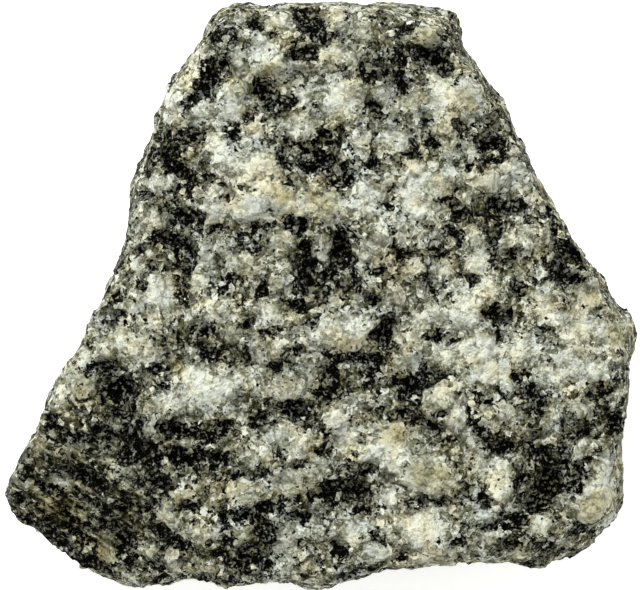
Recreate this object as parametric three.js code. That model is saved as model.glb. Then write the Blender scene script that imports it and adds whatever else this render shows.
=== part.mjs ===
// A hand specimen of grey granite: one broken slab of rock that lies on its back face.
// Millimetres, +Z up. The origin is under the middle of the slab, on the surface it lies on.
// +Y runs from the wide ragged end to the narrow end, and the front face looks up.
import * as THREE from "three";
import { ImprovedNoise } from "three/addons/math/ImprovedNoise.js";
import { mergeVertices } from "three/addons/utils/BufferGeometryUtils.js";

// Driving dimensions. The outline below is 89 mm wide and 82 mm long.
const THICKNESS = 33;
const CENTRE = new THREE.Vector3(1, -6, 16);

// The facets: how often each side of the starting ball's triangles is split, and how far, in ball
// radiuses, the corners are scattered.
const SPLITS = 21;
const SCATTER = 0.028;

// The broken rim seen from above, clockwise from the left corner of the narrow end, which lies this
// share of a full turn from +X.
const FIRST_CORNER_TURN = 0.3;
const OUTLINE = [
  [-14.1, 40.5], [-10.5, 41.0], [-8.0, 40.7], [-7.3, 40.1], [-4.8, 40.3], [-2.8, 40.9],
  [0.0, 41.2], [2.8, 41.1], [5.7, 40.6], [11.5, 40.9], [14.3, 40.4], [17.1, 40.5],
  [19.0, 39.8], [20.0, 38.6], [20.2, 34.4], [22.0, 31.9], [24.3, 29.0], [26.6, 26.2],
  [27.7, 23.0], [28.6, 20.2], [31.7, 14.4], [33.2, 11.6], [34.7, 8.7], [36.8, 6.2],
  [38.9, 3.6], [41.4, 0.3], [43.1, -1.7], [44.4, -4.6], [44.4, -6.9], [43.4, -8.5],
  [42.8, -11.2], [43.0, -13.7], [42.3, -20.0], [41.9, -24.8], [42.4, -26.3], [42.1, -28.8],
  [40.9, -31.2], [39.1, -32.3], [38.3, -33.7], [36.3, -35.6], [33.7, -36.8], [30.8, -37.8],
  [28.6, -37.9], [26.6, -37.4], [24.3, -37.0], [18.9, -37.2], [16.0, -37.8], [12.9, -37.7],
  [11.5, -38.3], [9.4, -38.4], [6.6, -39.3], [3.7, -39.9], [2.0, -40.6], [0.0, -41.2],
  [-2.0, -40.9], [-3.6, -39.9], [-6.2, -40.0], [-8.3, -39.3], [-11.1, -39.3], [-12.5, -40.1],
  [-13.7, -40.3], [-15.1, -39.6], [-20.2, -39.6], [-22.8, -40.5], [-25.3, -40.6],
  [-30.2, -39.6], [-32.8, -37.9], [-34.9, -36.4], [-36.8, -34.6], [-39.1, -32.9],
  [-41.4, -31.7], [-43.1, -30.2], [-43.5, -28.8], [-44.7, -27.9], [-44.0, -26.3],
  [-42.8, -24.9], [-41.9, -22.5], [-40.5, -19.7], [-38.9, -16.8], [-37.8, -12.5],
  [-36.0, -9.9], [-34.2, -8.3], [-32.5, -5.2], [-30.9, -1.4], [-29.7, 1.8], [-27.7, 7.8],
  [-26.7, 11.3], [-26.6, 14.7], [-25.8, 17.1], [-23.8, 22.2], [-23.0, 22.7], [-23.7, 24.2],
  [-23.4, 25.3], [-21.8, 27.0], [-21.8, 29.3], [-20.6, 30.9], [-18.9, 32.6], [-17.9, 34.6],
  [-16.2, 36.5], [-16.2, 38.5],
];

// The flat breaks that meet on the front face. Each falls away along "towards" (degrees from +X)
// from a line "start" away from the origin, by "slope" for each millimetre.
const FRONT_BREAKS = [
  { towards: 0, start: 6, slope: 0.045 },
  { towards: 180, start: 6, slope: 0.07 },
  { towards: 158.7, start: 25.8, slope: 1.15 },
  { towards: 231.7, start: 35.0, slope: 0.8 },
  { towards: 200, start: 31.0, slope: 0.45 },
  { towards: 270, start: 27.0, slope: 0.16 },
  { towards: 275, start: 36.0, slope: 1.0 },
  { towards: 304.7, start: 40.5, slope: 0.7 },
  { towards: 29.2, start: 30.0, slope: 0.35 },
  { towards: 0, start: 37.0, slope: 0.4 },
  { towards: 90, start: 35.0, slope: 0.45 },
];

// Lumps (rise above 0) and hollows (below 0) of the front face:
// x, y, half length, half width, turn in degrees, rise.
const FRONT_FORMS = [
  // The narrow end.
  [-1.4, 37.8, 2.2, 2.6, 20, -1.0], [-1.6, 34.2, 2.2, 1.7, 0, -1.1], [3.0, 33.5, 3.6, 2.4, 0, 0.7],
  [15.2, 33.2, 4.4, 1.9, -28, -1.1], [15.6, 37.2, 3.2, 2.0, -20, 0.8], [3.2, 27.9, 3.6, 2.6, 30, 0.9],
  [-7.6, 28.0, 3.0, 2.2, -15, -1.0], [-19.0, 27.6, 2.6, 1.9, 80, 0.8], [-12.8, 27.9, 2.4, 2.6, 0, 0.6],
  [20.6, 28.2, 1.9, 3.2, 10, 0.8], [1.8, 22.8, 3.2, 2.0, 5, -1.0], [20.0, 24.2, 2.4, 1.7, 0, -0.9],
  // The left side, with its scooped hollow and the black seam under it.
  [-19.6, 22.6, 4.2, 1.8, -8, -1.4], [-19.8, 17.8, 4.0, 2.6, -30, -1.3], [-12.6, 18.6, 3.6, 3.0, -30, 0.7],
  [-9.5, 13.2, 3.4, 2.8, 20, 0.9], [-22.2, 11.0, 2.8, 1.9, 10, 0.8], [-19.0, 9.2, 2.8, 2.8, 0, -1.2],
  [-19.4, 3.2, 1.8, 4.2, 0, -1.4], [-22.6, 0.8, 2.2, 3.8, 15, 0.9], [-14.6, -1.0, 4.2, 2.6, 0, 0.5],
  // The middle, with its black hollow round a pale crystal.
  [-4.2, 18.6, 4.0, 2.2, -20, -0.9], [-5.2, 13.6, 3.6, 2.6, -10, 0.8], [3.0, 16.4, 2.6, 2.2, 0, -0.9],
  [-3.4, 10.0, 2.4, 2.2, 0, -1.2], [2.6, 6.4, 2.2, 3.0, 10, -1.6], [-1.8, 4.0, 2.0, 3.4, 25, -1.2],
  [0.1, 6.8, 1.6, 1.9, 0, 1.5], [8.4, 7.6, 3.4, 2.4, -10, 0.6], [19.2, 11.8, 2.2, 2.4, 0, -0.9],
  [27.8, 8.8, 3.4, 2.2, -20, 0.7], [25.4, 12.6, 2.4, 2.0, 0, -0.8], [34.2, 3.4, 3.6, 2.2, -35, -1.1],
  [20.2, -1.8, 3.0, 2.6, -10, 1.0], [25.2, -3.2, 2.8, 2.4, -10, -1.1], [-7.6, -2.6, 2.2, 2.2, 0, 0.9],
  [3.6, -4.6, 4.2, 2.6, 0, 1.0], [9.2, -5.4, 1.9, 2.4, -30, -1.5], [4.6, -9.0, 4.0, 1.8, 10, -1.1],
  [12.8, -6.4, 2.6, 3.0, 0, 0.6], [17.4, -6.0, 2.6, 1.7, 0, -0.9],
  // The wide end: the black hollows on the left, the feldspars and blocks on the right.
  [-28.4, -13.4, 2.4, 2.8, 0, -1.2], [-14.8, -13.2, 4.0, 2.4, 20, 0.9], [-24.0, -18.2, 2.2, 2.0, 0, 0.9],
  [-19.4, -18.4, 3.4, 1.7, 5, -1.5], [-18.0, -22.4, 4.0, 2.0, -10, -1.6], [-26.8, -20.6, 4.0, 2.0, 5, -1.4],
  [-30.0, -23.2, 3.4, 1.8, -25, 0.9], [-34.4, -25.0, 4.6, 1.7, -5, -1.4], [-10.6, -27.4, 3.2, 2.2, 10, 0.8],
  [-4.6, -26.2, 3.2, 4.2, -20, 0.8], [-3.4, -16.0, 3.4, 1.8, -15, -0.9], [-10.4, -33.4, 2.0, 1.8, 0, 0.9],
  [-20.4, -37.2, 2.2, 2.0, 0, 0.8], [2.6, -18.0, 2.2, 3.4, 20, 0.8], [4.6, -27.2, 4.4, 2.2, 5, -1.3],
  [16.0, -14.7, 2.6, 2.6, 0, 1.2], [12.8, -12.6, 2.2, 2.8, 30, -1.2], [14.2, -18.0, 3.4, 1.8, -35, -1.0],
  [13.0, -23.8, 6.6, 3.6, -10, 1.4], [15.0, -33.2, 5.4, 2.8, 5, 1.0], [17.0, -29.0, 3.8, 1.6, -5, -0.8],
  [25.6, -25.6, 1.8, 3.8, 8, 1.3], [22.0, -19.0, 2.4, 2.6, -50, 0.7], [32.2, -25.6, 3.2, 3.6, 10, -1.5],
  [29.6, -29.6, 3.8, 1.7, 0, -1.3], [38.8, -29.2, 4.4, 3.2, 35, 1.4], [37.0, -20.8, 3.2, 1.9, 25, 0.9],
  [34.4, -16.2, 3.2, 2.2, -10, 0.9], [30.2, -14.2, 2.2, 2.2, 0, -0.9], [31.2, -33.0, 3.4, 2.2, 0, 0.7],
];

// Where forms overlap they add up to no more than this. They have their full size from this far
// above the centre.
const FORM_LIMITS = [-1.6, 1.5];
const FRONT_RIM_DEPTH = 8;

// The ledge near the narrow end: the rock above this line stands proud of the rock below it.
const LEDGE = { from: [-10.5, 30.3], to: [-0.5, 31.9], rise: 1.1, fade: 5 };

// The breaks that undercut the back face, in the same form: each rises outwards.
const BACK_BREAKS = [
  { towards: 29.2, start: 27.5, slope: 2.0 },
  { towards: 0, start: 35.0, slope: 1.0 },
  { towards: 304.7, start: 37.0, slope: 1.3 },
  { towards: 268, start: 33.0, slope: 1.9 },
  { towards: 231.7, start: 39.0, slope: 1.0 },
  { towards: 190, start: 36.0, slope: 1.2 },
  { towards: 158.7, start: 25.0, slope: 2.4 },
  { towards: 120, start: 33.0, slope: 1.8 },
  { towards: 86, start: 34.0, slope: 1.4 },
  { towards: 60, start: 36.0, slope: 1.7 },
];

// Where the back face touches the surface: x, y and radius of each flat spot. The face rises round them
// over the edge's width, to the hollowness, and the edge wanders by the unevenness.
const RESTING_SPOTS = [
  [1, -9, 10], [-26, -26, 4], [29, -21, 5], [1, 28, 5], [19, 7, 4],
];
const RESTING_EDGE = 5;
const RESTING_UNEVENNESS = 4;
const RESTING_WAVE = 6;
const BACK_HOLLOWNESS = 1.6;
const BACK_RIM_LIFT = 6;

// The sides bulge out to the outline between the rims of the two faces. Those lie inside it, and their
// teeth are smoothed by averaging points this share of the outline's length apart.
const FRONT_INSET = { left: 0.5, right: 1.9 };
const BACK_INSET = 4;
const SMOOTHING_STEP = 0.02;

// Where the front face ends and the back face begins on a ball of the same area, from 1 down to -1.
const FRONT_RIM = 0.42;
const BACK_RIM = -0.46;

// The rough break from crystal to crystal: single facets, broad swells and fine grain.
const BLOCK_SIZE = 5.6;
const BLOCK_STEP = 0.85;
const BLOCK_TILT = 0.24;
const SWELL_WAVE = 11;
const SWELL_HEIGHT = 0.9;
const GRAIN_WAVE = 3.1;
const GRAIN_HEIGHT = 0.55;

// On the sides the roughness is weaker by this share, and sinks in by this much, so that its peaks
// reach the outline and no further.
const SIDE_CALM = 0.55;
const SIDE_SINK = 0.5;

const smoothstep = THREE.MathUtils.smoothstep;
const lerp = THREE.MathUtils.lerp;
const noise = new ImprovedNoise();

// The outline as a closed path that can be asked for a point at any share of its length.
const rim = new THREE.Path(OUTLINE.map(([x, y]) => new THREE.Vector2(x, y)));
rim.closePath();

// The same "random" number from 0 to 1 each time for one cell of space and one purpose.
function chance(i, j, k, purpose) {
  const s = Math.sin(i * 127.1 + j * 311.7 + k * 74.7 + purpose * 19.19) * 43758.5453;
  return s - Math.floor(s);
}

// The relief of crystals that broke apart: each cell round a scattered centre is its own tilted facet.
function blockRelief(p) {
  const home = [p.x, p.y, p.z].map((v) => Math.floor(v / BLOCK_SIZE));
  let nearest = Infinity;
  let relief = 0;
  for (let i = home[0] - 1; i <= home[0] + 1; i++) {
    for (let j = home[1] - 1; j <= home[1] + 1; j++) {
      for (let k = home[2] - 1; k <= home[2] + 1; k++) {
        const centre = new THREE.Vector3(
          i + chance(i, j, k, 1),
          j + chance(i, j, k, 2),
          k + chance(i, j, k, 3),
        ).multiplyScalar(BLOCK_SIZE);
        const away = p.clone().sub(centre);
        if (away.length() >= nearest) continue;
        nearest = away.length();
        const tilt = [4, 5, 6].map((purpose) => 2 * chance(i, j, k, purpose) - 1);
        const lean = away.x * tilt[0] + away.y * tilt[1] + away.z * tilt[2];
        relief = BLOCK_STEP * (chance(i, j, k, 7) - 0.5) + BLOCK_TILT * lean;
      }
    }
  }
  return relief;
}

// How far the surface stands out of its plain form at a point.
function roughness(p) {
  const wave = (length) => noise.noise(p.x / length + 7, p.y / length + 3, p.z / length + 5);
  return blockRelief(p) + SWELL_HEIGHT * wave(SWELL_WAVE) + GRAIN_HEIGHT * wave(GRAIN_WAVE);
}

// One lump or hollow: level to about half its length and width, and gone a little outside them.
function formRise([x, y, halfLength, halfWidth, turn, rise], px, py) {
  const angle = THREE.MathUtils.degToRad(turn);
  const along = (px - x) * Math.cos(angle) + (py - y) * Math.sin(angle);
  const across = (py - y) * Math.cos(angle) - (px - x) * Math.sin(angle);
  const reach = Math.hypot(along / halfLength, across / halfWidth);
  return rise * (1 - smoothstep(reach, 0.45, 1.25));
}

// The ledge stands highest along its line, runs out past the line's ends and fades away behind it.
function ledgeRise(px, py) {
  const [x0, y0] = LEDGE.from;
  const run = [LEDGE.to[0] - x0, LEDGE.to[1] - y0];
  const length = Math.hypot(...run);
  const along = ((px - x0) * run[0] + (py - y0) * run[1]) / length;
  const above = ((py - y0) * run[0] - (px - x0) * run[1]) / length;
  if (above < 0) return 0;
  const ends = smoothstep(along, -3, 1) * (1 - smoothstep(along, length - 1, length + 3));
  return LEDGE.rise * ends * Math.exp(-above / LEDGE.fade);
}

// The plane of one break, facing out of the stone. It starts from a face at the given level.
function breakPlane({ towards, start, slope }, level, facing) {
  const angle = THREE.MathUtils.degToRad(towards);
  const normal = new THREE.Vector3(slope * Math.cos(angle), slope * Math.sin(angle), facing);
  const through = new THREE.Vector3(start * Math.cos(angle), start * Math.sin(angle), level);
  return new THREE.Plane().setFromNormalAndCoplanarPoint(normal.normalize(), through);
}

const breakPlanes = [
  ...FRONT_BREAKS.map((fall) => breakPlane(fall, THICKNESS, 1)),
  ...BACK_BREAKS.map((rise) => breakPlane(rise, 0, -1)),
];

// Brings a point of the plain slab back towards the centre until no break plane cuts it off.
function cutBack(point) {
  const ray = point.clone().sub(CENTRE);
  const shares = breakPlanes
    .filter((plane) => plane.normal.dot(ray) > 0)
    .map((plane) => -plane.distanceToPoint(CENTRE) / plane.normal.dot(ray));
  return CENTRE.clone().addScaledVector(ray, Math.min(1, ...shares));
}

// 1 on a resting spot, falling to 0 a few millimetres outside its uneven edge.
function resting(px, py) {
  const uneven = RESTING_UNEVENNESS * noise.noise(px / RESTING_WAVE, py / RESTING_WAVE, 0);
  const shares = RESTING_SPOTS.map(([x, y, radius]) =>
    1 - smoothstep(Math.hypot(px - x, py - y) + uneven, radius, radius + RESTING_EDGE));
  return Math.max(...shares);
}

// The rim with its small teeth averaged away.
function smoothedRim(share) {
  const nearby = [-2, -1, 0, 1, 2].map((step) => rimPoint(share + step * SMOOTHING_STEP));
  return nearby.reduce((sum, point) => sum.add(point)).divideScalar(nearby.length);
}

function rimPoint(share) {
  return rim.getPointAt(THREE.MathUtils.euclideanModulo(share, 1));
}

// Plan position of the side, "down" of the way from the front face's rim to the back face's.
function sidePoint(share, down) {
  const smoothed = smoothedRim(share);
  const inset = lerp(frontInset(smoothed.x), BACK_INSET, down);
  const inwards = new THREE.Vector2(CENTRE.x, CENTRE.y).sub(smoothed).setLength(inset);
  return smoothed.add(inwards).lerp(rimPoint(share), Math.sin(Math.PI * down));
}

function frontInset(x) {
  return lerp(FRONT_INSET.left, FRONT_INSET.right, smoothstep(x, -10, 20));
}

// Draws a point of the unit ball onto the plain slab: its two caps become the faces, its belt the sides.
function slabPoint(ball) {
  const share = FIRST_CORNER_TURN - Math.atan2(ball.y, ball.x) / (2 * Math.PI);
  const down = THREE.MathUtils.clamp((FRONT_RIM - ball.z) / (FRONT_RIM - BACK_RIM), 0, 1);
  const side = sidePoint(share, down);
  const towardsRim = Math.min(1, Math.sqrt((1 - ball.z) / (1 - FRONT_RIM)),
    Math.sqrt((1 + ball.z) / (1 + BACK_RIM)));
  const x = lerp(CENTRE.x, side.x, towardsRim);
  const y = lerp(CENTRE.y, side.y, towardsRim);
  return new THREE.Vector3(x, y, THICKNESS * (1 - down));
}

// Adds what rises or sinks on the front face, and hollows the back face between its resting spots.
function shapeFaces(point) {
  const forms = FRONT_FORMS.reduce((sum, form) => sum + formRise(form, point.x, point.y), 0);
  const risen = ledgeRise(point.x, point.y) + THREE.MathUtils.clamp(forms, ...FORM_LIMITS);
  point.z += risen * smoothstep(point.z, CENTRE.z, CENTRE.z + FRONT_RIM_DEPTH);
  const nearBack = 1 - smoothstep(point.z, 0, BACK_RIM_LIFT);
  point.z += BACK_HOLLOWNESS * nearBack * (1 - resting(point.x, point.y));
  return point;
}

// A ball of even triangles.
function ballGeometry() {
  const ball = new THREE.IcosahedronGeometry(1, SPLITS);
  ball.deleteAttribute("normal");
  ball.deleteAttribute("uv");
  return mergeVertices(ball);
}

// A corner of the ball moved a little along it, so that no rows of facets show on the stone.
function scattered(point, index) {
  const [x, y, z] = [1, 2, 3].map((purpose) => SCATTER * (chance(index, 0, 0, purpose) - 0.5));
  return point.add(new THREE.Vector3(x, y, z)).normalize();
}

// Moves each point along its normal by the roughness, and keeps the resting spots flat.
function roughen(geometry) {
  geometry.computeVertexNormals();
  const place = geometry.getAttribute("position");
  const normals = geometry.getAttribute("normal");
  for (let i = 0; i < place.count; i++) {
    const p = new THREE.Vector3().fromBufferAttribute(place, i);
    const normal = new THREE.Vector3().fromBufferAttribute(normals, i);
    const free = 1 - resting(p.x, p.y) * (1 - smoothstep(p.z, 0, BACK_RIM_LIFT));
    const sideways = 1 - Math.abs(normal.z);
    const rise = roughness(p) * (1 - SIDE_CALM * sideways) - SIDE_SINK * sideways;
    p.addScaledVector(normal, rise * free);
    place.setXYZ(i, p.x, p.y, Math.max(0, p.z));
  }
  geometry.deleteAttribute("normal");
}

function stoneGeometry() {
  const geometry = ballGeometry();
  const place = geometry.getAttribute("position");
  for (let i = 0; i < place.count; i++) {
    const ball = scattered(new THREE.Vector3().fromBufferAttribute(place, i), i);
    place.setXYZ(i, ...shapeFaces(cutBack(slabPoint(ball))));
  }
  roughen(geometry);
  geometry.computeBoundingBox();
  const middle = geometry.boundingBox.getCenter(new THREE.Vector3());
  geometry.translate(-middle.x, -middle.y, -geometry.boundingBox.min.z);
  geometry.computeVertexNormals();
  return geometry;
}

const granite = new THREE.MeshStandardMaterial({ color: 0x8b8c7f, roughness: 0.85, metalness: 0 });

const specimen = new THREE.Group();
const stone = new THREE.Mesh(stoneGeometry(), granite);
stone.name = "granite_specimen";
specimen.add(stone);

export default specimen;
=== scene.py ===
"""The looks of a granite hand specimen: a broken slab of speckled grey rock, seen from straight above."""

import itertools
import math

import bpy
import numpy as np
from bpy.props import FloatProperty, FloatVectorProperty, IntProperty, PointerProperty
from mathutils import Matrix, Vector, noise


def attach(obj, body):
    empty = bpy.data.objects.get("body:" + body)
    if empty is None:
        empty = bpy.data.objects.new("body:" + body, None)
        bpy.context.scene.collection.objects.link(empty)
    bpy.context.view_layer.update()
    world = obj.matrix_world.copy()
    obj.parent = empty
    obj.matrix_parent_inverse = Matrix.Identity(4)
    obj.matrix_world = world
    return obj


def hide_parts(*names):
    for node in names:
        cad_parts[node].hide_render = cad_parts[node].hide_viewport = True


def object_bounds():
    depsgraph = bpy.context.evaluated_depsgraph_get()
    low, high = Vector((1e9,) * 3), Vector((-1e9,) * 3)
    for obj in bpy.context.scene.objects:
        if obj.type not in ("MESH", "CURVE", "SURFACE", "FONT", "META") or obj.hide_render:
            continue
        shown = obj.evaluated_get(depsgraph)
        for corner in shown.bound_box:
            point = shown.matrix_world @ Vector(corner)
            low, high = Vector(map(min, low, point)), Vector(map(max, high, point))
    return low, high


bl_info = {
    "name": "Granite specimen",
    "version": (1, 0, 0),
    "blender": (4, 5, 0),
    "location": "3D View > Sidebar > Granite",
    "description": "Breaks the granite slab's surface into crystals and sets it on a pale studio floor",
    "category": "Object",
}

MM = 0.001
STONE_NODE = "granite_specimen"

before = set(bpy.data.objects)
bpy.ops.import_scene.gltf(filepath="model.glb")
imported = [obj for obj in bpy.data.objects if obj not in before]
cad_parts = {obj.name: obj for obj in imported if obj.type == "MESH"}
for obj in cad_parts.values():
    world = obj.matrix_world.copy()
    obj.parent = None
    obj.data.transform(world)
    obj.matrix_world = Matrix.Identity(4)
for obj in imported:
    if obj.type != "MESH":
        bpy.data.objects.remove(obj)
cad_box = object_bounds()

# Minerals on the front face, with some painted shade and light among them: x, y, half length, half
# width (mm) and turn (degrees), as the camera above sees them at the height of the stone's outline. They
# count from a point that lies this far (mm) from the stone's own origin, and were read a little larger than
# the stone is.
READ_FROM = (-0.3, -0.3)
READ_SCALE = 1 / 0.988

# How high the camera and the stone's outline are above the floor (m), and where the camera stands over the
# stone (mm).
CAMERA_HEIGHT = 0.7
OUTLINE_HEIGHT = (cad_box[1][2] - cad_box[0][2]) / 2
CAMERA_OVER = (-0.3, 0.1)
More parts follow.
